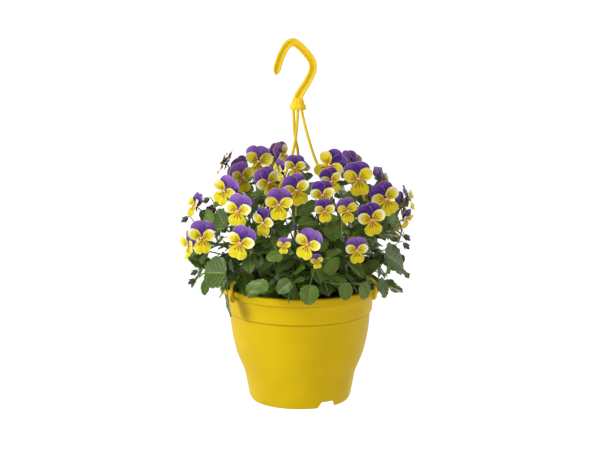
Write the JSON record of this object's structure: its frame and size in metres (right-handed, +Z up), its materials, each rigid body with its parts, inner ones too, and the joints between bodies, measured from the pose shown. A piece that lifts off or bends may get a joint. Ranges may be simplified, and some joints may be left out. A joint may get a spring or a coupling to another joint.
{
  "type": "viola hanging basket",
  "caption": "Round moulded hanging pot on a clip-on hanger with a hook, filled with soil and a dome of flowering violas in purple and yellow.",
  "frame": {"origin": "the inner crest of the hook, where the bracket or rail that carries the basket bears", "axes": "+Z up along the hanging basket, -Y to its front as pictured, +X to the right seen from the front"},
  "size_m": [0.3337, 0.3279, 0.5214],
  "materials": {
    "pot_plastic": "warm yellow moulded polypropylene, satin sheen",
    "hanger_plastic": "yellow moulded plastic, smooth, slightly waxy",
    "soil": "dark crumbly peat compost, matt",
    "leaf_green": "mid green leaves and stems, softly satin, paler veins and undersides",
    "petal_purple": "violet purple petals, velvety, with a thin pale edge",
    "petal_yellow": "clear yellow petals with cream outer edges and dark lines at the throat"
  },
  "bodies": {
    "root": {"pot": "pot_plastic", "soil": "soil", "hook": "hanger_plastic", "strand_left": "hanger_plastic", "strand_right": "hanger_plastic", "strand_back": "hanger_plastic", "leafy_stems_1": "leaf_green", "leafy_stems_2": "leaf_green", "leafy_stems_3": "leaf_green", "leafy_stems_4": "leaf_green", "leafy_stems_5": "leaf_green", "leafy_stems_6": "leaf_green", "leafy_stems_7": "leaf_green", "leafy_stems_8": "leaf_green", "leafy_stems_9": "leaf_green", "bloom_01": "petal_purple", "bloom_02": "petal_purple", "bloom_03": "petal_purple", "bloom_04": "petal_purple", "bloom_05": "petal_purple", "bloom_06": "petal_purple", "bloom_07": "petal_purple", "bloom_08": "petal_purple", "bloom_09": "petal_purple", "bloom_10": "petal_purple", "bloom_11": "petal_purple", "bloom_12": "petal_purple", "bloom_13": "petal_purple", "bloom_14": "petal_purple", "bloom_15": "petal_purple", "bloom_16": "petal_purple", "bloom_17": "petal_purple", "bloom_18": "petal_purple", "bloom_19": "petal_purple", "bloom_20": "petal_purple", "bloom_21": "petal_purple", "bloom_22": "petal_purple", "bloom_23": "petal_purple", "bloom_24": "petal_purple", "bloom_25": "petal_purple", "bloom_26": "petal_purple", "bloom_27": "petal_purple", "bloom_28": "petal_purple", "bloom_29": "petal_purple", "bloom_30": "petal_purple", "bloom_31": "petal_purple", "bloom_32": "petal_purple", "bloom_33": "petal_purple", "bloom_34": "petal_purple", "bloom_35": "petal_purple", "bloom_36": "petal_purple", "bloom_37": "petal_purple", "bloom_38": "petal_purple", "bloom_39": "petal_purple", "bloom_40": "petal_purple", "bloom_41": "petal_purple", "bloom_42": "petal_purple", "bloom_43": "petal_purple", "bloom_44": "petal_purple", "bloom_45": "petal_purple"}
  },
  "joints": []
}
